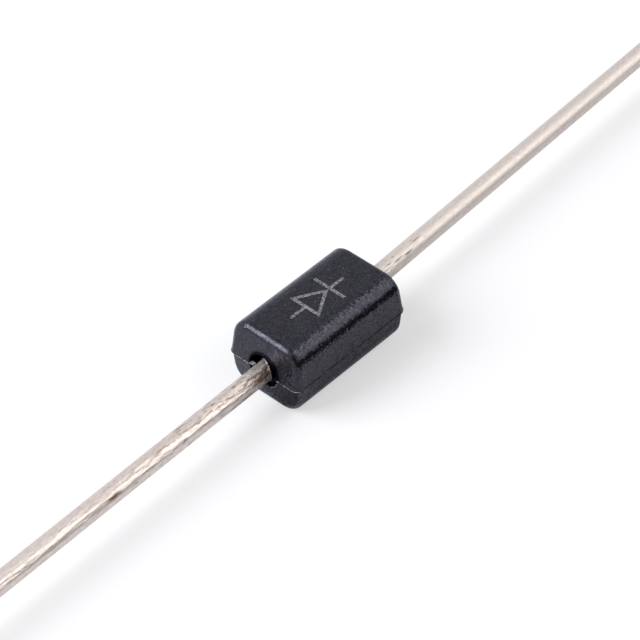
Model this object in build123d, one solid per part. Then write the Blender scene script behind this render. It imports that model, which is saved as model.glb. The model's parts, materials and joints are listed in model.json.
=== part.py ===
from build123d import *
import math
import os

# An axial rectifier diode in a moulded block package. All sizes are in millimetres and
# all angles in degrees. +X runs along the leads towards the cathode, +Z is up, and the
# origin lies in the middle of the flat bottom that the body rests on.

# Moulded body: an upper and a lower mould half that meet at the height of the leads
body_length = 9.12
body_width = 5.3
upper_height = 2.48
lower_height = 2.2
upper_end_draft = 6.9
upper_side_draft = 4.3
lower_end_draft = 4.7
lower_side_draft = 3.5
top_long_edge_radius = 1.22
bottom_long_edge_radius = 1.34
end_edge_radius = 0.42
# The lower cavity of the mould is this much smaller all round
parting_step = 0.04

# Round pocket in each end of the body, where the lead comes out
recess_radius = 1.08
recess_depth = 0.7

# Nail-head leads: a flat head and its cone are upset on the inner end of a round wire
lead_diameter = 1.2
lead_free_length = 28.5
lead_tip_chamfer = 0.1
head_diameter = 3.0
head_thickness = 0.5
head_cone_length = 0.45
# Each wire leans out of line, by one angle in the moulding and another outside it. The
# bend between the two starts clear of the recess floor and ends outside the body.
cathode_shank_lean = 5.0
cathode_free_lean = 2.5
anode_shank_lean = 0.3
anode_free_lean = 1.0
bend_lead_in = 0.1
bend_run_out = 0.3

# Junction: a square die between two solder discs, with a ring of coating round its edge
die_width = 2.1
die_thickness = 0.28
solder_diameter = 1.9
solder_thickness = 0.08
coating_thickness = 0.28
coating_overlap = 0.22
coating_edge_radius = 0.18

# Where the pieces meet along X
head_face_x = die_thickness / 2 + solder_thickness
head_back_x = head_face_x + head_thickness
recess_floor_x = body_length / 2 - recess_depth
bend_start_x = recess_floor_x + bend_lead_in
bend_end_x = body_length / 2 + bend_run_out


def rod(radius, start_x, end_x):
    """A round bar on the X axis."""
    return extrude(Plane.YZ.offset(start_x) * Circle(radius), amount=end_x - start_x)


def trapezium(width, height, draft, skirt):
    """Outline of a drafted wall pair, width wide at height zero, with a skirt below it."""
    lean = math.tan(math.radians(draft))
    low = width / 2 + skirt * lean
    high = width / 2 - height * lean
    return Polygon((-low, -skirt), (low, -skirt), (high, height), (-high, height), align=None)


def mould_half(length, width, height, end_draft, side_draft, long_edge_radius):
    """One half of the body, standing on the parting plane with its flat face up."""
    skirt = end_edge_radius
    section = Plane.YZ * trapezium(width, height, side_draft, skirt)
    section = fillet(section.vertices().sort_by(Axis.Z)[-2:], long_edge_radius)
    side_view = Plane.XZ * trapezium(length, height, end_draft, skirt)
    half = extrude(section, amount=length, both=True) & extrude(side_view, amount=width, both=True)
    ends = half.faces().sort_by(Axis.X)
    rims = [edge for end in (ends[0], ends[-1]) for edge in end.edges().sort_by(Axis.Z)[1:]]
    half = fillet(rims, end_edge_radius)
    return split(half, Plane.XY, keep=Keep.TOP)


def body_blank():
    """The outside of the body, with a small step all round its parting line."""
    upper = mould_half(
        body_length, body_width, upper_height, upper_end_draft, upper_side_draft, top_long_edge_radius
    )
    lower = mould_half(
        body_length - 2 * parting_step,
        body_width - 2 * parting_step,
        lower_height,
        lower_end_draft,
        lower_side_draft,
        bottom_long_edge_radius,
    )
    return upper + mirror(lower, Plane.XY)


def nail_head():
    """The upset inner end of a lead, a disc with a cone behind it that runs into the wire."""
    head_radius = head_diameter / 2
    slope = (head_radius - lead_diameter / 2) / head_cone_length
    core_radius = lead_diameter / 4
    core_x = head_back_x + (head_radius - core_radius) / slope
    outline = Polygon(
        (head_face_x, 0),
        (head_face_x, head_radius),
        (head_back_x, head_radius),
        (core_x, core_radius),
        (core_x, 0),
        align=None,
    )
    return revolve(outline, Axis.X)


def lead(shank_lean, free_lean):
    """A lead towards +X, whose wire leans towards +Y inside and outside the body."""
    shank = Vector(1, 0, 0).rotate(Axis.Z, shank_lean)
    free = Vector(1, 0, 0).rotate(Axis.Z, free_lean)
    start = Vector((head_face_x + head_back_x) / 2, 0, 0)
    half_bend = (bend_end_x - bend_start_x) / 2
    corner = start + shank * (bend_start_x + half_bend - start.X)
    tip = corner + free * (half_bend + lead_free_length - bend_run_out)
    bend_radius = half_bend / math.tan(math.radians(abs(shank_lean - free_lean)) / 2)
    route = FilletPolyline(start, corner, tip, radius=bend_radius)
    wire = sweep(Plane(origin=start, z_dir=shank) * Circle(lead_diameter / 2), path=route)
    wire = chamfer(wire.edges().sort_by(Axis.X)[-1], lead_tip_chamfer)
    return nail_head() + wire


def junction_coating(inner_pieces):
    """The cured bead that fills the gap between the heads and laps over their rims."""
    widest = max(head_diameter, die_width * math.sqrt(2)) / 2
    half_length = head_face_x + coating_overlap
    bead = rod(widest + coating_thickness, -half_length, half_length)
    bead = fillet(bead.edges().filter_by(GeomType.CIRCLE), coating_edge_radius)
    return bead - inner_pieces


def build_nodes():
    """All pieces of the diode by name, with the leads' axis at height zero."""
    cathode_lead = lead(cathode_shank_lean, cathode_free_lean)
    anode_lead = Rot(0, 0, 180) * lead(anode_shank_lean, anode_free_lean)
    silicon_die = Box(die_thickness, die_width, die_width)
    cathode_solder = rod(solder_diameter / 2, die_thickness / 2, head_face_x)
    anode_solder = rod(solder_diameter / 2, -head_face_x, -die_thickness / 2)
    metal_and_die = [cathode_lead, anode_lead, silicon_die, cathode_solder, anode_solder]
    coating = junction_coating(metal_and_die)
    recesses = [
        rod(recess_radius, recess_floor_x, body_length),
        rod(recess_radius, -body_length, -recess_floor_x),
    ]
    return {
        "moulded_body": body_blank() - recesses - metal_and_die - coating,
        "cathode_lead": cathode_lead,
        "anode_lead": anode_lead,
        "silicon_die": silicon_die,
        "cathode_solder": cathode_solder,
        "anode_solder": anode_solder,
        "junction_coating": coating,
    }


# Each piece is lifted so that the flat bottom of the body lies at height zero
os.makedirs("parts", exist_ok=True)
for name, piece in build_nodes().items():
    placed = Pos(0, 0, lower_height) * piece
    placed.label = name
    export_step(placed, os.path.join("parts", name + ".step"))
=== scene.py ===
"""Dresses an axial rectifier diode for its picture.

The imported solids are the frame: a moulded block with a tinned lead out of each end. This
script gives every solid its finish, adds the small traces of moulding and marking that
lie on it, and sets up the studio. Lengths are in metres unless a name ends in _mm, and
angles are in degrees. +X runs along the leads towards the cathode and +Z is up.
"""

from __future__ import annotations

import json
import logging
import math
from collections.abc import Callable, Iterator
from contextlib import contextmanager
from dataclasses import dataclass
from enum import Enum

import bmesh
import bpy
from bpy.types import Material, Node, NodeSocket, NodeTree, Object
from mathutils import Matrix, Vector

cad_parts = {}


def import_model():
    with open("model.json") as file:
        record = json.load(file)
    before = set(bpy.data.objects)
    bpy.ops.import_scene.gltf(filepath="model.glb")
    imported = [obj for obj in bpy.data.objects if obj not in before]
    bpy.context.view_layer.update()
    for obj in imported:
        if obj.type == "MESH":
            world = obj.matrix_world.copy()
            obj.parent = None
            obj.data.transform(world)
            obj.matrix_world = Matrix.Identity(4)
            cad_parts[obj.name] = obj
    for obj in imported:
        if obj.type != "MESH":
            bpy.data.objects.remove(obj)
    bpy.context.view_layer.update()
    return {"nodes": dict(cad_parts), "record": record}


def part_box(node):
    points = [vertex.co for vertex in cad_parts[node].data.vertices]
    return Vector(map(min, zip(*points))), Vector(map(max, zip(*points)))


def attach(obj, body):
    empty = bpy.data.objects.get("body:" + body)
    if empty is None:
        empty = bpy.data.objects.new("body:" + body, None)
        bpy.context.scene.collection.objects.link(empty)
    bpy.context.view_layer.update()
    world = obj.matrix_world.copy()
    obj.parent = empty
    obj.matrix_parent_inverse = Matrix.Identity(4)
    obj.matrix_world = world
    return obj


LOG = logging.getLogger("diode")
MM = 0.001
# Points nearer than this are one point, in metres
TOUCHING = 1e-7
# A cut beside a plane that the solid already has edges in is this far from it, in metres
HAIR = 1e-6
# Edges that meet at less than this run straight on, in radians
STRAIGHT = math.radians(2)
# Nearly all of a noise lies between these values
NOISE_SPAN = (0.25, 0.75)
# Steps round a ring, and round the thin section of one
RING_STEPS = 96
SECTION_STEPS = 8


def linear(code: str) -> tuple[float, float, float, float]:
    """Turns an sRGB colour into the linear one that a shader reads.

    Args:
        code: The colour as "#rrggbb".

    Returns:
        Red, green, blue and an alpha of one.
    """
    parts = [int(code[i : i + 2], 16) / 255 for i in (1, 3, 5)]
    red, green, blue = (p / 12.92 if p <= 0.04045 else ((p + 0.055) / 1.055) ** 2.4 for p in parts)
    return red, green, blue, 1.0


def port(sockets: bpy.types.bpy_prop_collection, key: str) -> NodeSocket:
    """Finds a node's socket.

    Args:
        sockets: The inputs or the outputs of a node.
        key: The socket's identifier, or else its name.

    Returns:
        The socket.
    """
    by_identifier = [s for s in sockets if s.identifier == key]
    return by_identifier[0] if by_identifier else sockets[key]


def add_node(tree: NodeTree, kind: str, links: dict[str, object], **settings: object) -> Node:
    """Adds a node with its settings, its values and its links.

    Args:
        tree: The node tree that takes the node.
        kind: The node's type, without the leading "ShaderNode".
        links: What each input gets: a socket to link, or a constant value.
        **settings: The node's own properties, such as its operation.

    Returns:
        The new node.
    """
    node = tree.nodes.new("ShaderNode" + kind)
    for name, value in settings.items():
        setattr(node, name, value)
    for key, value in links.items():
        if isinstance(value, NodeSocket):
            tree.links.new(value, port(node.inputs, key))
        else:
            port(node.inputs, key).default_value = value
    return node


def layered(tree: NodeTree, ground: str, covers: list[tuple[NodeSocket, str]]) -> NodeSocket:
    """Lays colours over one another.

    Args:
        tree: The material's nodes.
        ground: The lowest colour.
        covers: How much each further colour covers, and the colour.

    Returns:
        The colour of them all.
    """
    colour: object = linear(ground)
    for cover, code in covers:
        links = {"Factor_Float": cover, "A_Color": colour, "B_Color": linear(code)}
        mixed = add_node(tree, "Mix", links, data_type="RGBA")
        colour = port(mixed.outputs, "Result_Color")
    return colour


def start_finish(name: str) -> tuple[Material, NodeTree]:
    """Makes an empty material.

    Args:
        name: What the finish is.

    Returns:
        The material and its node tree.
    """
    material = bpy.data.materials.new(name)
    material.use_nodes = True
    material.node_tree.nodes.clear()
    return material, material.node_tree


class Element(Enum):
    """What edit mode selects, by the name of its mode."""

    VERTS = "VERT"
    EDGES = "EDGE"
    FACES = "FACE"


def middle(part: bmesh.types.BMVert | bmesh.types.BMEdge | bmesh.types.BMFace) -> Vector:
    """Gives the place of a vertex, or the middle of an edge or a face."""
    if isinstance(part, bmesh.types.BMVert):
        return part.co
    return sum((v.co for v in part.verts), Vector()) / len(part.verts)


def pick(piece: Object, element: Element, test: Callable[[Vector], bool]) -> None:
    """Selects the parts of a mesh in edit mode that lie where a test says, and no others.

    Args:
        piece: The object that is open in edit mode.
        element: What to select.
        test: Says of a place whether it is wanted.
    """
    bpy.ops.mesh.select_mode(type=element.value)
    bpy.ops.mesh.select_all(action="DESELECT")
    mesh = bmesh.from_edit_mesh(piece.data)
    for part in getattr(mesh, element.name.lower()):
        part.select_set(test(middle(part)))
    mesh.select_flush_mode()
    bmesh.update_edit_mesh(piece.data)


def make_active(piece: Object) -> None:
    """Deselects everything and makes one object the selected and active one."""
    bpy.ops.object.select_all(action="DESELECT")
    piece.select_set(True)
    bpy.context.view_layer.objects.active = piece


@contextmanager
def editing(piece: Object) -> Iterator[None]:
    """Opens one object in edit mode with all of it selected, and closes it at the end."""
    make_active(piece)
    bpy.ops.object.mode_set(mode="EDIT")
    bpy.ops.mesh.select_all(action="SELECT")
    yield
    bpy.ops.object.mode_set(mode="OBJECT")


def settle(piece: Object) -> Object:
    """Moves an object's place into its mesh, so that it sits at the origin, unturned."""
    make_active(piece)
    bpy.ops.object.transform_apply(location=True, rotation=True, scale=True)
    return piece


def apply_modifier(piece: Object, kind: str, **settings: object) -> None:
    """Adds a modifier to an object and applies it.

    Args:
        piece: The object.
        kind: The modifier's type.
        **settings: The modifier's properties.
    """
    make_active(piece)
    modifier = piece.modifiers.new(kind.lower(), kind)
    for name, value in settings.items():
        setattr(modifier, name, value)
    bpy.ops.object.modifier_apply(modifier=modifier.name)


def copy_of(node: Object, name: str) -> Object:
    """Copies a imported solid's mesh into a new object and merges its loose triangles.

    Args:
        node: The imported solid.
        name: The name of the new object.

    Returns:
        The new object, which rides on nothing yet.
    """
    piece = bpy.data.objects.new(name, node.data.copy())
    bpy.context.collection.objects.link(piece)
    with editing(piece):
        bpy.ops.mesh.remove_doubles(threshold=TOUCHING)
    return piece


def join(pieces: list[Object], name: str) -> Object:
    """Joins objects into one.

    Args:
        pieces: The objects.
        name: The name of what they become.

    Returns:
        The joined object.
    """
    make_active(pieces[0])
    for piece in pieces:
        piece.select_set(True)
    bpy.ops.object.join()
    pieces[0].name = name
    return pieces[0]


def finish_piece(piece: Object, material: Material) -> Object:
    """Gives a new piece its material, settles it and puts it on the diode's one body.

    Args:
        piece: The new piece.
        material: Its finish.

    Returns:
        The piece.
    """
    settle(piece)
    with editing(piece):
        bpy.ops.mesh.normals_make_consistent(inside=False)
    piece.data.name = piece.name
    piece.data.materials.clear()
    piece.data.materials.append(material)
    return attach(piece, "root")


def dress(node: Object, material: Material) -> None:
    """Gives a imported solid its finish, in the material slots that it has."""
    for slot in node.material_slots:
        slot.material = material


@dataclass(frozen=True)
class MouldedEpoxy:
    """Black epoxy moulding compound, pressed against a spark-eroded steel mould.

    The eroded steel leaves a fine even grain, so the surface is matt with a soft sheen
    that breaks up into grains where a lamp is mirrored. Carbon black makes the resin
    almost black, with a cold cast, and the silica filler shows as a few pale specks.
    """

    name: str = "moulded_epoxy"
    resin: str = "#19191d"
    resin_pale: str = "#222227"
    filler: str = "#6c6e76"
    sheen: str = "#e4e4ff"
    ior: float = 1.5
    specular_level: float = 0.7
    roughness: float = 0.22
    # The real grain is about 30 microns and is drawn coarser so that it shows, as facets
    # that each lean by up to half of this
    grain_mm: float = 0.09
    grain_lean: float = 0.2
    # Some facets are hollows that give back less light, which counts as this much black metal
    grain_dimming: float = 0.75
    cloud_mm: float = 0.9
    speck_spacing_mm: float = 0.34
    speck_radius_mm: float = 0.032
    speck_share: float = 0.4
    # Round the pockets the resin is painted black and counts as black metal, so that no light comes
    # off it, as painted shade of the pockets' rounded rims: how far round this line along X
    rim_shade: str = "#050506"
    rim_yz_mm: tuple[float, float] = (-0.05, 2.36)
    rim_radius_mm: float = 1.2
    rim_softness_mm: float = 0.09

    def build(self) -> Material:
        """Makes the material."""
        material, tree = start_finish(self.name)
        place = add_node(tree, "TexCoord", {}).outputs["Object"]
        rim = self.painted_rim_shade(tree, place)
        grain = {"Vector": place, "Scale": 1 / (self.grain_mm * MM)}
        facets = add_node(tree, "TexVoronoi", grain).outputs["Color"]
        dim = add_node(tree, "SeparateColor", {"Color": facets}).outputs["Green"]
        # Where the painted rim shade lies, the surface becomes black metal and gives back no light
        for operation, value in (("MULTIPLY", self.grain_dimming), ("MAXIMUM", rim)):
            links = {"Value": dim, "Value_001": value}
            dim = add_node(tree, "Math", links, operation=operation).outputs["Value"]
        clouds = {"Vector": place, "Scale": 1 / (self.cloud_mm * MM), "Detail": 4.0}
        covers = [
            (add_node(tree, "TexNoise", clouds).outputs["Fac"], self.resin_pale),
            (self.filler_specks(tree, place), self.filler),
            (rim, self.rim_shade),
        ]
        looks = {
            "Base Color": layered(tree, self.resin, covers),
            "Metallic": dim,
            "Roughness": self.roughness,
            "IOR": self.ior,
            "Specular IOR Level": self.specular_level,
            "Specular Tint": linear(self.sheen),
            "Normal": self.leaning(tree, facets),
        }
        shader = add_node(tree, "BsdfPrincipled", looks).outputs["BSDF"]
        add_node(tree, "OutputMaterial", {"Surface": shader})
        return material

    def leaning(self, tree: NodeTree, facets: NodeSocket) -> NodeSocket:
        """Adds the lean of each facet of the grain.

        Args:
            tree: The material's nodes.
            facets: A random colour on each facet.

        Returns:
            The surface's direction on each facet.
        """
        tilt = self.grain_lean
        either_way = {"Vector": facets, "Location": (-tilt / 2,) * 3, "Scale": (tilt,) * 3}
        lean = add_node(tree, "Mapping", either_way, vector_type="POINT").outputs["Vector"]
        surface = add_node(tree, "NewGeometry", {}).outputs["Normal"]
        links = {"Vector": surface, "Vector_001": lean}
        leaning = {"Vector": add_node(tree, "VectorMath", links, operation="ADD").outputs["Vector"]}
        return add_node(tree, "VectorMath", leaning, operation="NORMALIZE").outputs["Vector"]

    def painted_rim_shade(self, tree: NodeTree, place: NodeSocket) -> NodeSocket:
        """Adds the painted shade round the pockets, which fades out over the end faces.

        Args:
            tree: The material's nodes.
            place: The coordinates.

        Returns:
            One in the zone and zero beyond it.
        """
        y, z = self.rim_yz_mm
        across = {"Vector": place, "Location": (0.0, -y * MM, -z * MM), "Scale": (0.0, 1.0, 1.0)}
        flat = add_node(tree, "Mapping", across, vector_type="POINT").outputs["Vector"]
        away = add_node(tree, "VectorMath", {"Vector": flat}, operation="LENGTH").outputs["Value"]
        edge = {
            "Value": away,
            "From Min": (self.rim_radius_mm - self.rim_softness_mm) * MM,
            "From Max": (self.rim_radius_mm + self.rim_softness_mm) * MM,
            "To Min": 1.0,
            "To Max": 0.0,
        }
        return add_node(tree, "MapRange", edge).outputs["Result"]

    def filler_specks(self, tree: NodeTree, place: NodeSocket) -> NodeSocket:
        """Adds the sparse grains of filler that lie bare at the surface.

        Args:
            tree: The material's nodes.
            place: The coordinates.

        Returns:
            One on a grain and zero beside it.
        """
        spacing = {"Vector": place, "Scale": 1 / (self.speck_spacing_mm * MM)}
        cells = add_node(tree, "TexVoronoi", spacing).outputs
        chance = add_node(tree, "SeparateColor", {"Color": cells["Color"]}).outputs["Red"]
        radius = self.speck_radius_mm / self.speck_spacing_mm
        below = []
        for value, limit in ((cells["Distance"], radius), (chance, self.speck_share)):
            links = {"Value": value, "Value_001": limit}
            below.append(add_node(tree, "Math", links, operation="LESS_THAN").outputs["Value"])
        both = {"Value": below[0], "Value_001": below[1]}
        return add_node(tree, "Math", both, operation="MULTIPLY").outputs["Value"]


@dataclass(frozen=True)
class Wire:
    """Where one lead's wire runs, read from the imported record."""

    root: Vector
    # Its direction about Z, in radians
    turn: float

    @classmethod
    def read(cls, record: dict, mount: str, end_face: float) -> Wire:
        """Reads a wire from the mount that it makes.

        Args:
            record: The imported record.
            mount: The name of the mount.
            end_face: Where along X the wire leaves the block.

        Returns:
            The wire, with its root at the end face.
        """
        found = next(m for m in record["mounts"] if m["name"] == mount)
        place, axis = Vector(found["pos_m"]), Vector(found["axis"]).normalized()
        root = place + axis * ((end_face - place.x) / axis.x)
        return cls(root, math.atan2(axis.y, axis.x))


@dataclass(frozen=True)
class WireNodes:
    """The shader nodes of one lead, with the coordinates that its patterns share."""

    tree: NodeTree
    # X runs along the wire, away from the block
    along: NodeSocket
    # How far a place is from the end face, and its angle round the wire in radians
    distance: NodeSocket
    angle: NodeSocket

    @classmethod
    def on(cls, tree: NodeTree, wire: Wire) -> WireNodes:
        """Adds the coordinates of one wire.

        Args:
            tree: The material's nodes.
            wire: Where the wire runs.

        Returns:
            The nodes.
        """
        place = add_node(tree, "TexCoord", {}).outputs["Object"]
        turned = {"Vector": place, "Location": wire.root, "Rotation": (0, 0, wire.turn)}
        along = add_node(tree, "Mapping", turned, vector_type="TEXTURE").outputs["Vector"]
        parts = add_node(tree, "SeparateXYZ", {"Vector": along}).outputs
        sides = {"Value": parts["Y"], "Value_001": parts["Z"]}
        angle = add_node(tree, "Math", sides, operation="ARCTAN2").outputs["Value"]
        return cls(tree, along, parts["X"], angle)

    def noise(self, streak_mm: tuple[float, float]) -> NodeSocket:
        """Adds a noise that is drawn out along the wire.

        Args:
            streak_mm: How long and how wide a streak is.

        Returns:
            The noise.
        """
        along, across = (1 / (size * MM) for size in streak_mm)
        streaks = {"Vector": self.along, "Vector_001": (along, across, across)}
        drawn = add_node(self.tree, "VectorMath", streaks, operation="MULTIPLY").outputs["Vector"]
        grain = {"Vector": drawn, "Scale": 1.0, "Detail": 3.0}
        return add_node(self.tree, "TexNoise", grain).outputs["Fac"]

    def fade(self, reach_mm: float, at_root: float, beyond: float) -> NodeSocket:
        """Adds a value that changes with the distance from the block.

        Args:
            reach_mm: Where the change ends.
            at_root: The value at the end face.
            beyond: The value from there on.

        Returns:
            The value.
        """
        span = {"From Min": 0.0, "From Max": reach_mm * MM, "To Min": at_root, "To Max": beyond}
        return add_node(self.tree, "MapRange", {"Value": self.distance, **span}).outputs["Result"]


@dataclass(frozen=True)
class TinnedCopper:
    """Copper wire with a thin dip of tin, drawn through a die and handled since.

    The die leaves fine lines along the wire, and the tin is satin and slightly warm. Near
    the block the tin froze crumbly and pitted, so it scatters light. Further out it is
    smoother. It can be scraped through to the copper along one line, and handling leaves
    dark broken marks.
    """

    name: str
    wire: Wire
    tin: str = "#f2e9e5"
    tin_dull: str = "#c4b7b0"
    edge_tint: str = "#f0eeee"
    scraped: str = "#6d4f3d"
    pit_colour: str = "#6b5f58"
    stain_and_shade_colour: str = "#6f655a"
    # Crumbled tin scatters part of the light as a matt surface does, so it counts as part metal
    root_metallic: float = 0.75
    root_roughness: float = 0.3
    free_roughness: float = 0.43
    root_mm: float = 2.5
    radius_mm: float = 0.6
    # The die's real lines and the tin's real grit are some 20 microns wide and are drawn
    # coarser so that they show. Each pattern has a length and a width of its streaks.
    wave_mm: tuple[float, float] = (2.0, 0.26)
    wave_height_mm: float = 0.075
    grit_mm: tuple[float, float] = (0.32, 0.14)
    grit_root_height_mm: float = 0.06
    grit_free_height_mm: float = 0.018
    crumb_mm: tuple[float, float] = (0.19, 0.1)
    crumb_height_mm: float = 0.1
    crumb_reach_mm: float = 3.0
    pit_mm: tuple[float, float] = (0.42, 0.11)
    pit_reach_mm: float = 14.0
    pit_level: float = 0.52
    # How much fewer the pits are from their reach on, and how soft their edges are
    pit_thinning: float = 0.12
    pit_softness: float = 0.2
    scrape_angle: float = 27.0
    scrape_width: float = 12.0
    scrape_wander: float = 14.0
    wander_mm: tuple[float, float] = (1.1, 0.8)
    scrape_reach_mm: float = 20.0
    scrape_strength: float = 0.0
    # Scrapes and marks are broken up by a noise, between these two levels of it
    break_mm: tuple[float, float] = (0.22, 0.1)
    break_levels: tuple[float, float] = (0.3, 0.46)
    # Handling marks, and on the scraped lead one mark that is partly painted shade at the root:
    # distance from the block, angle round the wire, length and width
    stains_and_shade: tuple[tuple[float, float, float, float], ...] = ()
    # The share of a mark's half-width that is dark all through
    stain_and_shade_core: float = 0.3

    def build(self) -> Material:
        """Makes the material."""
        material, tree = start_finish(self.name)
        nodes = WireNodes.on(tree, self.wire)
        grit = nodes.noise(self.grit_mm)
        breaks = {
            "Value": nodes.noise(self.break_mm),
            "From Min": self.break_levels[0],
            "From Max": self.break_levels[1],
        }
        broken = add_node(tree, "MapRange", breaks).outputs["Result"]
        covers = [
            (grit, self.tin_dull),
            (self.pits(nodes), self.pit_colour),
            (self.scrape(nodes, broken), self.scraped),
            (self.stain_and_shade(nodes, broken), self.stain_and_shade_colour),
        ]
        looks = {
            "Base Color": layered(tree, self.tin, covers),
            "Metallic": nodes.fade(self.root_mm, self.root_metallic, 1.0),
            "Roughness": nodes.fade(self.root_mm, self.root_roughness, self.free_roughness),
            "Specular Tint": linear(self.edge_tint),
            "Normal": self.relief(nodes, grit),
        }
        shader = add_node(tree, "BsdfPrincipled", looks).outputs["BSDF"]
        add_node(tree, "OutputMaterial", {"Surface": shader})
        return material

    def relief(self, nodes: WireNodes, grit: NodeSocket) -> NodeSocket:
        """Adds the waves that the die left, the grit of the tin and its crumbs near the block.

        Args:
            nodes: The lead's nodes.
            grit: The noise that the grit follows.

        Returns:
            The surface's direction.
        """
        root, beyond = self.grit_root_height_mm * MM, self.grit_free_height_mm * MM
        reliefs = (
            (nodes.noise(self.wave_mm), self.wave_height_mm * MM),
            (grit, nodes.fade(self.root_mm, root, beyond)),
            (
                nodes.noise(self.crumb_mm),
                nodes.fade(self.crumb_reach_mm, self.crumb_height_mm * MM, 0.0),
            ),
        )
        below: dict[str, object] = {}
        for noise, height in reliefs:
            links = {"Height": noise, "Strength": 1.0, "Distance": height, **below}
            below = {"Normal": add_node(nodes.tree, "Bump", links).outputs["Normal"]}
        return below["Normal"]

    def pits(self, nodes: WireNodes) -> NodeSocket:
        """Adds the dark pits in the tin, which are fewer further from the block.

        Args:
            nodes: The lead's nodes.

        Returns:
            One in a pit and zero beside it.
        """
        noise = nodes.noise(self.pit_mm)
        level = nodes.fade(self.pit_reach_mm, self.pit_level, self.pit_level + self.pit_thinning)
        links = {"Value": noise, "Value_001": level}
        above = add_node(nodes.tree, "Math", links, operation="SUBTRACT").outputs["Value"]
        edge = {"Value": above, "From Min": 0.0, "From Max": self.pit_softness}
        return add_node(nodes.tree, "MapRange", edge).outputs["Result"]

    def stain_and_shade(self, nodes: WireNodes, broken: NodeSocket) -> NodeSocket:
        """Adds the broken dark marks that handling left, with the painted shade among them.

        Args:
            nodes: The lead's nodes.
            broken: What breaks a mark up.

        Returns:
            How much of a mark covers the tin.
        """
        tree, radius = nodes.tree, self.radius_mm * MM
        arc = {"Value": nodes.angle, "Value_001": radius}
        places = {
            "X": nodes.distance,
            "Y": add_node(tree, "Math", arc, operation="MULTIPLY").outputs["Value"],
        }
        unrolled = add_node(tree, "CombineXYZ", places).outputs["Vector"]
        covered = add_node(tree, "Value", {}).outputs["Value"]
        edge = {"From Min": self.stain_and_shade_core, "From Max": 1.0, "To Min": 1.0, "To Max": 0.0}
        for place, turn, length, width in self.stains_and_shade:
            mark = {
                "Vector": unrolled,
                "Location": (place * MM, math.radians(turn) * radius, 0.0),
                "Scale": (length * MM / 2, width * MM / 2, 1.0),
            }
            off = add_node(tree, "Mapping", mark, vector_type="TEXTURE").outputs
            away = add_node(tree, "VectorMath", {"Vector": off["Vector"]}, operation="LENGTH")
            values = {"Value": away.outputs["Value"], **edge}
            dark = add_node(tree, "MapRange", values).outputs["Result"]
            both = {"Value": covered, "Value_001": dark}
            covered = add_node(tree, "Math", both, operation="MAXIMUM").outputs["Value"]
        part = {"Value": covered, "Value_001": broken}
        return add_node(tree, "Math", part, operation="MULTIPLY").outputs["Value"]

    def scrape(self, nodes: WireNodes, broken: NodeSocket) -> NodeSocket:
        """Adds the wandering, broken line along which the tin is scraped off the copper.

        Args:
            nodes: The lead's nodes.
            broken: What breaks the line up.

        Returns:
            How much copper shows.
        """
        tree = nodes.tree
        course = {
            "Value": nodes.noise(self.wander_mm),
            "From Min": NOISE_SPAN[0],
            "From Max": NOISE_SPAN[1],
            "To Min": math.radians(self.scrape_angle - self.scrape_wander),
            "To Max": math.radians(self.scrape_angle + self.scrape_wander),
        }
        wander = add_node(tree, "MapRange", course).outputs["Result"]
        apart = {"Value": nodes.angle, "Value_001": wander}
        off = add_node(tree, "Math", apart, operation="SUBTRACT").outputs["Value"]
        edge = {
            "Value": add_node(tree, "Math", {"Value": off}, operation="ABSOLUTE").outputs["Value"],
            "From Min": 0.0,
            "From Max": math.radians(self.scrape_width),
            "To Min": self.scrape_strength,
            "To Max": 0.0,
        }
        line = add_node(tree, "MapRange", edge).outputs["Result"]
        for share in (nodes.fade(self.scrape_reach_mm, 1.0, 0.0), broken):
            part = {"Value": line, "Value_001": share}
            line = add_node(tree, "Math", part, operation="MULTIPLY").outputs["Value"]
        return line


@dataclass(frozen=True)
class MottledFinish:
    """A plain finish whose colour wanders between two tones, for small or hidden pieces."""

    name: str
    light: str
    dark: str
    roughness: float
    metallic: float
    patch_mm: float
    bump_mm: float
    # How sharply the tones meet, and the share of the noise below which the light one is
    contrast: float = 1.0
    balance: float = 0.5

    def build(self) -> Material:
        """Makes the material."""
        material, tree = start_finish(self.name)
        place = add_node(tree, "TexCoord", {}).outputs["Object"]
        patches = {"Vector": place, "Scale": 1 / (self.patch_mm * MM), "Detail": 3.0}
        noise = add_node(tree, "TexNoise", patches).outputs["Fac"]
        low, high = (self.balance + half / self.contrast for half in (-0.5, 0.5))
        edge = {"Value": noise, "From Min": low, "From Max": high}
        patch = add_node(tree, "MapRange", edge).outputs["Result"]
        relief = {"Height": noise, "Strength": 1.0, "Distance": self.bump_mm * MM}
        looks = {
            "Base Color": layered(tree, self.light, [(patch, self.dark)]),
            "Metallic": self.metallic,
            "Roughness": self.roughness,
            "Normal": add_node(tree, "Bump", relief).outputs["Normal"],
        }
        shader = add_node(tree, "BsdfPrincipled", looks).outputs["BSDF"]
        add_node(tree, "OutputMaterial", {"Surface": shader})
        return material


@dataclass
class Junction:
    """The sealed inner pieces: a silicon die soldered between the heads, under a coating."""

    # A lapped die is a dark mirror
    silicon: MottledFinish = MottledFinish(
        "lapped_silicon", "#6f7379", "#5c6068", 0.12, 1.0, 0.6, 0.0005
    )
    # Solder that flowed and froze is dull and a little rippled
    solder: MottledFinish = MottledFinish(
        "reflowed_solder", "#a9aaad", "#8d8e91", 0.42, 1.0, 0.3, 0.004
    )
    # Cured silicone is milky and softly shiny
    coating: MottledFinish = MottledFinish(
        "cured_silicone", "#dcdad2", "#cfccc2", 0.4, 0.0, 0.5, 0.003
    )

    def build(self, nodes: dict[str, Object]) -> None:
        """Gives the inner solids their finishes."""
        solder = self.solder.build()
        dress(nodes["silicon_die"], self.silicon.build())
        dress(nodes["cathode_solder"], solder)
        dress(nodes["anode_solder"], solder)
        dress(nodes["junction_coating"], self.coating.build())
        LOG.info("dressed the die, its solder and its coating")


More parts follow.
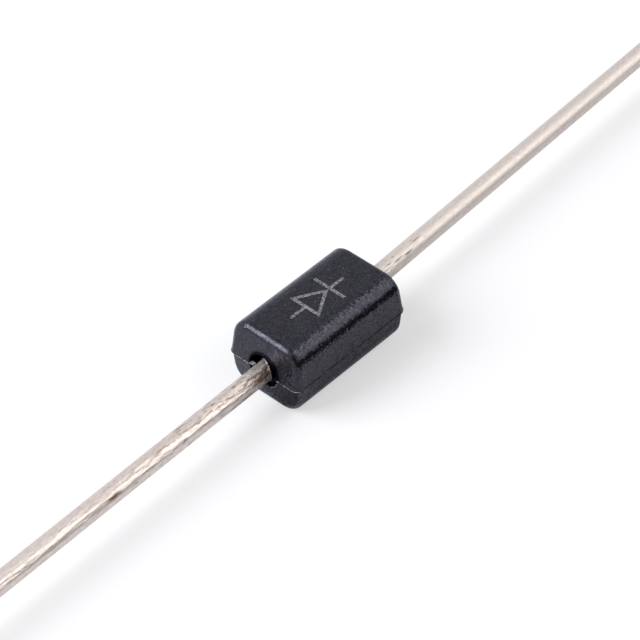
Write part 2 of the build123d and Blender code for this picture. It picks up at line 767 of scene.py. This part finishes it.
@dataclass
class Leads:
    """The two tinned wires, each with its own wear."""

    end_face: float
    record: dict

    def build(self, nodes: dict[str, Object]) -> None:
        """Gives each lead its finish."""
        anode = Wire.read(self.record, "anode_pin", -self.end_face)
        cathode = Wire.read(self.record, "cathode_pin", self.end_face)
        scraped = TinnedCopper(
            "scraped_tin",
            anode,
            pit_colour="#7a6a60",
            stain_and_shade_colour="#80685a",
            scrape_strength=1.0,
            # The mark at 0.6 mm on the lower side is partly a brown stain and partly painted shade
            # of the wire's root, next to the block
            stains_and_shade=((12.3, 55.0, 1.6, 0.34), (0.6, 55.0, 2.6, 0.6), (6.5, -20.0, 1.2, 0.12)),
        )
        satin = TinnedCopper(
            "satin_tin",
            cathode,
            tin="#e4dedb",
            pit_level=0.6,
            root_metallic=0.9,
            root_roughness=0.36,
            crumb_height_mm=0.07,
            crumb_reach_mm=6.0,
            free_roughness=0.55,
            grit_root_height_mm=0.07,
            grit_free_height_mm=0.006,
            wave_height_mm=0.022,
            stain_and_shade_colour="#857569",
            stains_and_shade=(
                (0.8, -46.0, 1.4, 0.2),
                (1.7, -24.0, 0.9, 0.13),
                (2.4, -37.0, 1.0, 0.13),
                (3.3, -44.0, 1.1, 0.18),
                (4.3, -14.0, 1.1, 0.1),
            ),
        )
        dress(nodes["anode_lead"], scraped.build())
        dress(nodes["cathode_lead"], satin.build())
        LOG.info("dressed both leads")


def lay_sheet(place_mm: tuple[float, float, float], length_mm: float, width_mm: float) -> Object:
    """Lays a flat sheet level, to be shaped further.

    Args:
        place_mm: Its middle.
        length_mm: Its size along X.
        width_mm: Its size along Y.

    Returns:
        The sheet, with its place in its mesh.
    """
    bpy.ops.mesh.primitive_plane_add(size=MM, location=tuple(MM * p for p in place_mm))
    piece = bpy.context.object
    piece.scale = (length_mm, width_mm, 1)
    return settle(piece)


@dataclass
class MouldTraces:
    """What the mould and the dip of tin leave on the block and in its pockets, with a painted
    shadow under the parting line's step and a painted highlight on one pocket's rim.
    """

    # Resin that squeezed out between the mould halves set thin and broke off unevenly
    flash: MottledFinish = MottledFinish(
        "thin_flash", "#dedee2", "#1c1c20", 0.55, 0.0, 0.06, 0.01, contrast=6.0, balance=0.45
    )
    # Pale resin for the flake and the rim burr; on the rim its pale tone is partly painted
    # highlight of the rounded edge
    burr_and_highlight: MottledFinish = MottledFinish(
        "pale_burr_and_painted_highlight", "#cfcfd3", "#4a4a50", 0.5, 0.0, 0.08, 0.01, contrast=4.0, balance=0.53
    )
    # A strip under the step of the parting line is painted shadow of the step, dark with a few pale
    # grains
    seam_shadow: MottledFinish = MottledFinish(
        "painted_seam_shadow", "#060608", "#8e8e93", 0.9, 0.0, 0.09, 0.01, contrast=9.0, balance=0.66
    )
    # Resin that bled out along the wire is a smooth black skin
    bleed: MottledFinish = MottledFinish("bled_resin", "#08080a", "#101012", 0.35, 0.0, 0.15, 0.02)
    # The dip of tin ends against that skin in a thin crumbled edge
    collar: MottledFinish = MottledFinish(
        "crumbled_tin_edge", "#d8d2cc", "#4a423c", 0.5, 0.5, 0.08, 0.02, contrast=5.0
    )
    parting_z_mm: float = 2.2
    recess_radius_mm: float = 1.08
    recess_floor_x_mm: float = 3.86
    lower_end_x_mm: float = 4.52
    lower_end_draft: float = 4.7
    flat_end_y_mm: float = 2.15
    end_x_mm: float = 4.1
    side_y_mm: float = 2.5
    # The ridge of flash starts this far beside a pocket and stands out by these factors
    ridge_gap_mm: float = 0.05
    ridge_scale: tuple[float, float, float] = (1.007, 1.008, 1.0)
    ridge_cuts: int = 14
    ridge_thickness_mm: float = 0.018
    ridge_raggedness_mm: float = 0.03
    seam_height_mm: float = 0.05
    seam_cuts: int = 80
    seam_scale: tuple[float, float, float] = (1.0, 1.003, 1.0)
    seam_thickness_mm: float = 0.014
    seam_raggedness_mm: float = 0.02
    # The flake's middle along X and Y, its length and its width
    flake_mm: tuple[float, float, float, float] = (-4.42, 0.93, 0.24, 0.3)
    flake_thickness_mm: float = 0.05
    flake_raggedness_mm: float = 0.025
    # The burr lies below both of these: its Y, and its height above the parting line
    burr_from_mm: tuple[float, float] = (-0.5, -0.3)
    burr_thickness_mm: float = 0.022
    burr_raggedness_mm: float = 0.01
    # The skin of resin on each wire reaches out to a slanting edge in the mouth of the pocket
    bleed_slant: float = 24.0
    bleed_radius_mm: float = 0.592
    bleed_length_mm: float = 1.4
    bleed_thickness_mm: float = 0.03
    bleed_raggedness_mm: float = 0.008
    # Its root lies this far inside the pocket's floor and is wider by this factor
    bleed_root_mm: float = 0.1
    meniscus: float = 1.25
    # It is smooth for this far from its root
    bleed_smooth_mm: float = 0.15
    collar_thickness_mm: float = 0.014
    collar_raggedness_mm: float = 0.022
    # Where each wire's axis is at its pocket's mouth, along X and Y, and its lean
    wires_mm: tuple[tuple[float, float, float], ...] = ((-4.26, -0.02, 0.3), (4.26, 0.332, 5.0))
    # How uneven a crumb is, as a share of its radius
    crumb_raggedness: float = 0.35
    # The place and radius of each crumb, on the parting line and in the pocket
    crumbs_mm: tuple[tuple[float, float, float, float], ...] = (
        (-2.16, -2.63, 2.2, 0.035),
        (-1.58, -2.62, 2.18, 0.025),
        (-0.17, -2.63, 2.18, 0.03),
        (0.07, -2.63, 2.21, 0.025),
        (2.04, -2.63, 2.18, 0.03),
        (3.65, -2.63, 2.21, 0.025),
        (-1.41, -2.53, 3.93, 0.022),
        (-4.45, -0.22, 1.2, 0.05),
        (-4.45, -0.1, 1.15, 0.035),
    )

    def build(self, nodes: dict[str, Object]) -> None:
        """Adds the traces."""
        resin = self.flash.build()
        body = nodes["moulded_body"]
        finish_piece(self.build_ridge(body), resin)
        finish_piece(self.build_seam(body), self.seam_shadow.build())
        finish_piece(self.build_burrs(), self.burr_and_highlight.build())
        finish_piece(self.build_crumbs(), resin)
        finish_piece(self.build_bleeds(), self.bleed.build())
        finish_piece(self.build_collars(), self.collar.build())
        LOG.info("added the flash, the seam, the burrs, the crumbs, the resin skins and tin edges")

    def keep_parting_line(
        self, piece: Object, offset: float, unwanted: Callable[[Vector], bool]
    ) -> None:
        """Keeps the outline at the parting line of a copy of the block, and selects it.

        Args:
            piece: The copy, open in edit mode.
            offset: How far above the parting plane the outline is cut.
            unwanted: Says of a place on the outline whether it goes.
        """
        bpy.ops.mesh.bisect(
            plane_co=(0, 0, self.parting_z_mm * MM + offset),
            plane_no=(0, 0, 1),
            clear_inner=True,
            clear_outer=True,
        )
        pick(piece, Element.EDGES, unwanted)
        bpy.ops.mesh.delete(type="EDGE")
        bpy.ops.mesh.select_all(action="SELECT")
        bpy.ops.mesh.dissolve_limited(angle_limit=STRAIGHT)

    def build_ridge(self, body: Object) -> Object:
        """Draws the ragged ridge of flash out of the parting line at both ends."""
        piece = copy_of(body, "parting_flash")
        centre = (0, 0, self.parting_z_mm * MM)
        inner_x, inner_y = self.end_x_mm * MM, (self.recess_radius_mm + self.ridge_gap_mm) * MM
        with editing(piece):
            self.keep_parting_line(piece, HAIR, lambda p: abs(p.x) < inner_x or abs(p.y) < inner_y)
            pick(piece, Element.EDGES, lambda p: abs(p.y) < self.flat_end_y_mm * MM)
            bpy.ops.mesh.subdivide(number_cuts=self.ridge_cuts)
            bpy.ops.mesh.select_all(action="SELECT")
            bpy.ops.mesh.extrude_edges_move()
            bpy.ops.transform.resize(value=self.ridge_scale, center_override=centre)
            bpy.ops.transform.vertex_random(offset=self.ridge_raggedness_mm * MM, seed=5)
        apply_modifier(piece, "SOLIDIFY", thickness=self.ridge_thickness_mm * MM, offset=0.0)
        return piece

    def build_seam(self, body: Object) -> Object:
        """Draws the ragged dark strip of painted shadow under the step of the parting line on both
        long sides.
        """
        piece = copy_of(body, "parting_step_shadow")
        with editing(piece):
            self.keep_parting_line(piece, -HAIR, lambda p: abs(p.y) < self.side_y_mm * MM)
            bpy.ops.mesh.subdivide(number_cuts=self.seam_cuts)
            bpy.ops.mesh.extrude_edges_move()
            bpy.ops.transform.translate(value=(0, 0, -self.seam_height_mm * MM))
            bpy.ops.transform.vertex_random(offset=self.seam_raggedness_mm * MM, seed=3)
            bpy.ops.mesh.select_all(action="SELECT")
            bpy.ops.transform.resize(value=self.seam_scale, center_override=(0, 0, 0))
        apply_modifier(piece, "SOLIDIFY", thickness=self.seam_thickness_mm * MM, offset=0.0)
        return piece

    def build_bleeds(self) -> Object:
        """Makes the skin of resin round each wire inside its pocket."""
        skins = []
        for x, y, lean in self.wires_mm:
            outward = math.copysign(1, x)
            slant = math.radians(lean + outward * self.bleed_slant)
            mouth = (x * MM, y * MM, self.parting_z_mm * MM)
            bpy.ops.mesh.primitive_cylinder_add(
                vertices=64,
                radius=self.bleed_radius_mm * MM,
                depth=self.bleed_length_mm * MM,
                end_fill_type="NOTHING",
                location=mouth,
                rotation=(0, math.radians(90), math.radians(lean)),
            )
            skin = settle(bpy.context.object)
            centre = (outward * self.recess_floor_x_mm * MM, y * MM, self.parting_z_mm * MM)
            with editing(skin):
                bpy.ops.mesh.bisect(
                    plane_co=mouth,
                    plane_no=(outward * math.cos(slant), outward * math.sin(slant), 0),
                    clear_outer=True,
                )
                bpy.ops.mesh.select_all(action="SELECT")
                bpy.ops.mesh.bisect(plane_co=centre, plane_no=(1, 0, 0), clear_inner=False)
                root = (self.recess_floor_x_mm - self.bleed_root_mm) * MM
                pick(skin, Element.VERTS, lambda p: abs(p.x) < root)
                bpy.ops.transform.resize(
                    value=(1, self.meniscus, self.meniscus), center_override=centre
                )
                smooth = root + self.bleed_smooth_mm * MM
                pick(skin, Element.VERTS, lambda p: abs(p.x) > smooth)
                bpy.ops.transform.vertex_random(offset=self.bleed_raggedness_mm * MM, seed=6)
            apply_modifier(skin, "SOLIDIFY", thickness=self.bleed_thickness_mm * MM, offset=1.0)
            skins.append(skin)
        return join(skins, "resin_skins")

    def build_burrs(self) -> Object:
        """Makes the flake in the near recess and the pale burr along the recess's lower rim, which
        is partly a real burr and partly painted highlight of the rim's edge.
        """
        x, y, length, width = self.flake_mm
        flake = lay_sheet((x, y, self.parting_z_mm), length, width)
        with editing(flake):
            bpy.ops.mesh.subdivide(number_cuts=4)
            bpy.ops.transform.vertex_random(offset=self.flake_raggedness_mm * MM, seed=4)
        apply_modifier(flake, "SOLIDIFY", thickness=self.flake_thickness_mm * MM, offset=0.0)
        bpy.ops.mesh.primitive_torus_add(
            location=(-self.lower_end_x_mm * MM, 0, self.parting_z_mm * MM),
            rotation=(0, math.radians(90 - self.lower_end_draft), 0),
            major_radius=self.recess_radius_mm * MM,
            minor_radius=self.burr_thickness_mm * MM,
            major_segments=RING_STEPS,
            minor_segments=SECTION_STEPS,
        )
        rim = settle(bpy.context.object)
        end_y = self.burr_from_mm[0] * MM
        end_z = (self.parting_z_mm + self.burr_from_mm[1]) * MM
        with editing(rim):
            pick(rim, Element.FACES, lambda p: not (p.y < end_y and p.z < end_z))
            bpy.ops.mesh.delete(type="FACE")
            bpy.ops.mesh.select_all(action="SELECT")
            bpy.ops.mesh.fill_holes(sides=SECTION_STEPS)
            bpy.ops.transform.vertex_random(offset=self.burr_raggedness_mm * MM, seed=7)
        return join([flake, rim], "recess_burrs")

    def build_crumbs(self) -> Object:
        """Makes the crumbs of resin as small uneven lumps."""
        lumps = []
        for index, (x, y, z, radius) in enumerate(self.crumbs_mm):
            bpy.ops.mesh.primitive_ico_sphere_add(
                subdivisions=2, radius=radius * MM, location=(x * MM, y * MM, z * MM)
            )
            lump = bpy.context.object
            with editing(lump):
                offset = self.crumb_raggedness * radius * MM
                bpy.ops.transform.vertex_random(offset=offset, seed=index)
            lumps.append(lump)
        return join(lumps, "resin_crumbs")

    def build_collars(self) -> Object:
        """Makes the thin slanting edge of tin that borders each skin of resin."""
        rims = []
        for index, (x, y, lean) in enumerate(self.wires_mm):
            slant = math.radians(lean + math.copysign(1, x) * self.bleed_slant)
            mouth = (x * MM, y * MM, self.parting_z_mm * MM)
            bpy.ops.mesh.primitive_torus_add(
                major_radius=(self.bleed_radius_mm + self.bleed_thickness_mm) * MM,
                minor_radius=self.collar_thickness_mm * MM,
                major_segments=RING_STEPS,
                minor_segments=SECTION_STEPS,
                rotation=(0, math.radians(90), slant),
                location=mouth,
            )
            rim = settle(bpy.context.object)
            with editing(rim):
                # The slanting cut through a round wire is longer than the wire is wide
                stretch = 1 / math.cos(math.radians(self.bleed_slant))
                bpy.ops.transform.resize(value=(stretch, stretch, 1), center_override=mouth)
                offset = self.collar_raggedness_mm * MM
                bpy.ops.transform.vertex_random(offset=offset, seed=11 + index)
            rims.append(rim)
        return join(rims, "tin_edges")


@dataclass
class PolarityMark:
    """The plain circuit symbol of a diode on the top face, its bar towards the cathode."""

    # A laser bleaches the resin to a thin grey film that the grain of the face breaks up
    bleached: MottledFinish = MottledFinish(
        "laser_bleached_resin", "#969698", "#26262a", 0.6, 0.0, 0.08, 0.02, contrast=5.0
    )
    top_z_mm: float = 4.68
    film_mm: float = 0.012
    film_edge_mm: float = 0.002
    stroke_mm: float = 0.2
    left_x_mm: float = -2.2
    back_x_mm: float = -1.05
    tip_x_mm: float = 0.95
    right_x_mm: float = 2.2
    half_width_mm: float = 1.15

    def build(self) -> None:
        """Adds the mark."""
        finish_piece(self.build_strokes(), self.bleached.build())
        LOG.info("marked the polarity on the top face")

    def build_strokes(self) -> Object:
        """Draws the wire line, the triangle and the bar as one thin film."""
        bar_end = self.tip_x_mm + self.stroke_mm
        strokes = (
            (self.left_x_mm, self.back_x_mm, self.stroke_mm),
            (self.tip_x_mm, bar_end, 2 * self.half_width_mm),
            (bar_end, self.right_x_mm, self.stroke_mm),
        )
        bars = [
            lay_sheet(((start + end) / 2, 0.0, self.top_z_mm), end - start, width)
            for start, end, width in strokes
        ]
        mark = join([self.triangle(), *bars], "polarity_mark")
        apply_modifier(mark, "SOLIDIFY", thickness=self.film_mm * MM, offset=0.0)
        apply_modifier(mark, "BEVEL", width=self.film_edge_mm * MM, segments=1)
        return mark

    def triangle(self) -> Object:
        """Lays the outline of the triangle that points at the bar."""
        length = self.tip_x_mm - self.back_x_mm
        # In a circle of radius one a triangle is 1.5 long, and half as wide as twice cos 30
        circle_length, circle_half_width = 1.5, math.cos(math.radians(30))
        bpy.ops.mesh.primitive_circle_add(
            vertices=3, radius=MM, fill_type="NGON", rotation=(0, 0, math.radians(-90))
        )
        piece = settle(bpy.context.object)
        with editing(piece):
            bpy.ops.transform.resize(
                value=(length / circle_length, self.half_width_mm / circle_half_width, 1),
                center_override=(0, 0, 0),
            )
            bpy.ops.transform.translate(
                value=((self.back_x_mm + length / 3) * MM, 0, self.top_z_mm * MM)
            )
            bpy.ops.mesh.inset(thickness=self.stroke_mm * MM)
            bpy.ops.mesh.delete(type="FACE")
        return piece


@dataclass(frozen=True)
class Softbox:
    """A square lamp behind a diffuser, aimed at the diode."""

    name: str
    direction: tuple[float, float, float]
    distance: float
    width: float
    height: float
    radiance: float
    colour: str

    def build(self) -> None:
        """Adds the lamp."""
        away = Vector(self.direction).normalized()
        bpy.ops.object.light_add(type="AREA", location=away * self.distance)
        lamp = bpy.context.object
        lamp.name = self.name
        lamp.rotation_mode = "QUATERNION"
        lamp.rotation_quaternion = away.to_track_quat("Z", "Y")
        lamp.data.shape = "RECTANGLE"
        lamp.data.size = self.width
        lamp.data.size_y = self.height
        # A lamp of this power has the stated radiance over its whole face
        lamp.data.energy = self.radiance * self.width * self.height * 4
        lamp.data.color = linear(self.colour)[:3]


@dataclass(frozen=True)
class Card:
    """A black, grey or pale card that only reflections show, to shape them."""

    name: str
    middle: tuple[float, float, float]
    facing: tuple[float, float, float]
    width: float
    height: float
    colour: str = "#0c0c0c"

    def build(self) -> None:
        """Adds the card."""
        bpy.ops.mesh.primitive_plane_add(size=1, location=self.middle)
        card = bpy.context.object
        card.name = self.name
        card.scale = (self.width, self.height, 1)
        card.rotation_mode = "QUATERNION"
        card.rotation_quaternion = Vector(self.facing).to_track_quat("Z", "Y")
        material, tree = start_finish(self.name)
        matt = add_node(tree, "BsdfDiffuse", {"Color": linear(self.colour)})
        add_node(tree, "OutputMaterial", {"Surface": matt.outputs["BSDF"]})
        card.data.materials.append(material)
        card.visible_camera = False
        card.visible_diffuse = False
        card.visible_shadow = False


@dataclass
class Studio:
    """A pale table under a soft room, two softboxes, cards and the camera."""

    azimuth: float = -46.53
    elevation: float = 44.38
    roll: float = 1.33
    distance: float = 0.15
    lens: float = 148.65
    shift: tuple[float, float] = (0.0034, 0.0146)
    target: tuple[float, float, float] = (0.0, 0.0, 0.0022)
    floor_size: float = 8.0
    floor_colour: str = "#bebfc3"
    floor_lift: float = 0.5
    room_level: float = 0.25
    lamps: tuple[Softbox, ...] = (
        Softbox("key_softbox", (-0.64, 0.49, 0.59), 0.5, 0.38, 0.4, 5.4, "#ffffff"),
        Softbox("side_softbox", (0.519, -0.55, 0.655), 0.4, 0.34, 0.3, 1.42, "#fffdfa"),
    )
    cards: tuple[Card, ...] = (
        Card("front_card", (0.01, -0.015, 0.0045), (0, 1, 0), 0.07, 0.009),
        Card("camera_card", (-0.18, -0.17, 0.17), (0.6, 0.56, -0.57), 0.2, 0.2),
        # These two cards are painted shadow of the lead and the block on the table, which only
        # reflections show
        Card("painted_lead_shadow_card", (-0.0087, 0.0013, 0.0001), (0, 0, 1), 0.0048, 0.002, "#1c1c1c"),
        Card("painted_root_shadow_card", (-0.0056, -0.001, 0.0001), (0, 0, 1), 0.002, 0.0044, "#b6b6b6"),
        Card("table_card", (0.001, -0.0015, 0.00005), (0, 0, 1), 0.016, 0.011, "#f8f8f8"),
    )

    def build(self) -> None:
        """Builds the whole studio."""
        self.build_camera()
        self.build_floor()
        self.build_room()
        for item in (*self.lamps, *self.cards):
            item.build()
        bpy.context.scene.view_settings.view_transform = "Standard"
        LOG.info("set up the camera, the table, the lamps and the cards")

    def build_camera(self) -> None:
        """Adds the camera, at the angle from which the diode was photographed."""
        angles = (self.azimuth, self.elevation, self.roll)
        azimuth, elevation, roll = (math.radians(angle) for angle in angles)
        back = Vector(
            (
                math.sin(azimuth) * math.cos(elevation),
                -math.cos(azimuth) * math.cos(elevation),
                math.sin(elevation),
            )
        )
        level = Vector((math.cos(azimuth), math.sin(azimuth), 0))
        upright = back.cross(level)
        right = level * math.cos(roll) - upright * math.sin(roll)
        up = level * math.sin(roll) + upright * math.cos(roll)
        bpy.ops.object.camera_add()
        camera = bpy.context.object
        camera.name = "camera"
        camera.data.lens = self.lens
        camera.data.sensor_width = 36.0
        camera.data.shift_x, camera.data.shift_y = self.shift
        camera.data.clip_start, camera.data.clip_end = 0.01, 20.0
        turn = Matrix((right, up, back)).transposed().to_4x4()
        camera.matrix_world = Matrix.Translation(Vector(self.target) + back * self.distance) @ turn
        bpy.context.scene.camera = camera

    def build_floor(self) -> None:
        """Adds the white table, lifted to pure white away from the diode's shadow."""
        bpy.ops.mesh.primitive_plane_add(size=self.floor_size)
        floor = bpy.context.object
        floor.name = "table"
        material, tree = start_finish("white_table")
        matt = add_node(tree, "BsdfDiffuse", {"Color": linear(self.floor_colour)})
        links = {"Value": self.seen_directly(tree), "Value_001": self.floor_lift}
        lift = add_node(tree, "Math", links, operation="MULTIPLY").outputs["Value"]
        glow = add_node(tree, "Emission", {"Strength": lift})
        sum_of = {"Shader": matt.outputs["BSDF"], "Shader_001": glow.outputs["Emission"]}
        both = add_node(tree, "AddShader", sum_of)
        add_node(tree, "OutputMaterial", {"Surface": both.outputs["Shader"]})
        floor.data.materials.append(material)

    def seen_directly(self, tree: NodeTree) -> NodeSocket:
        """Adds the test for what the camera sees, itself or in metal or through glass.

        Args:
            tree: The nodes of the table or the room.

        Returns:
            One for such a ray and zero for light that falls on the diode.
        """
        path = add_node(tree, "LightPath", {})
        seen = path.outputs["Is Camera Ray"]
        for kind in ("Is Glossy Ray", "Is Transmission Ray"):
            links = {"Value": seen, "Value_001": path.outputs[kind]}
            seen = add_node(tree, "Math", links, operation="MAXIMUM").outputs["Value"]
        return seen

    def build_room(self) -> None:
        """Adds the room, which is white to look at and lights the diode more softly."""
        room = bpy.data.worlds.new("room")
        bpy.context.scene.world = room
        room.use_nodes = True
        tree = room.node_tree
        tree.nodes.clear()
        levels = {"Value": self.seen_directly(tree), "To Min": self.room_level, "To Max": 1.0}
        level = add_node(tree, "MapRange", levels).outputs["Result"]
        sky = add_node(tree, "Background", {"Strength": level})
        add_node(tree, "OutputWorld", {"Surface": sky.outputs["Background"]})


def main() -> None:
    """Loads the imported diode, dresses it and sets up its studio."""
    logging.basicConfig(level=logging.INFO, format="%(name)s: %(message)s")
    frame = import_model()
    bpy.ops.object.select_all(action="DESELECT")
    nodes = frame["nodes"]
    end_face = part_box("moulded_body")[1].x
    Studio().build()
    dress(nodes["moulded_body"], MouldedEpoxy().build())
    Leads(end_face, frame["record"]).build(nodes)
    Junction().build(nodes)
    MouldTraces().build(nodes)
    PolarityMark().build()


if __name__ == "__main__":
    main()
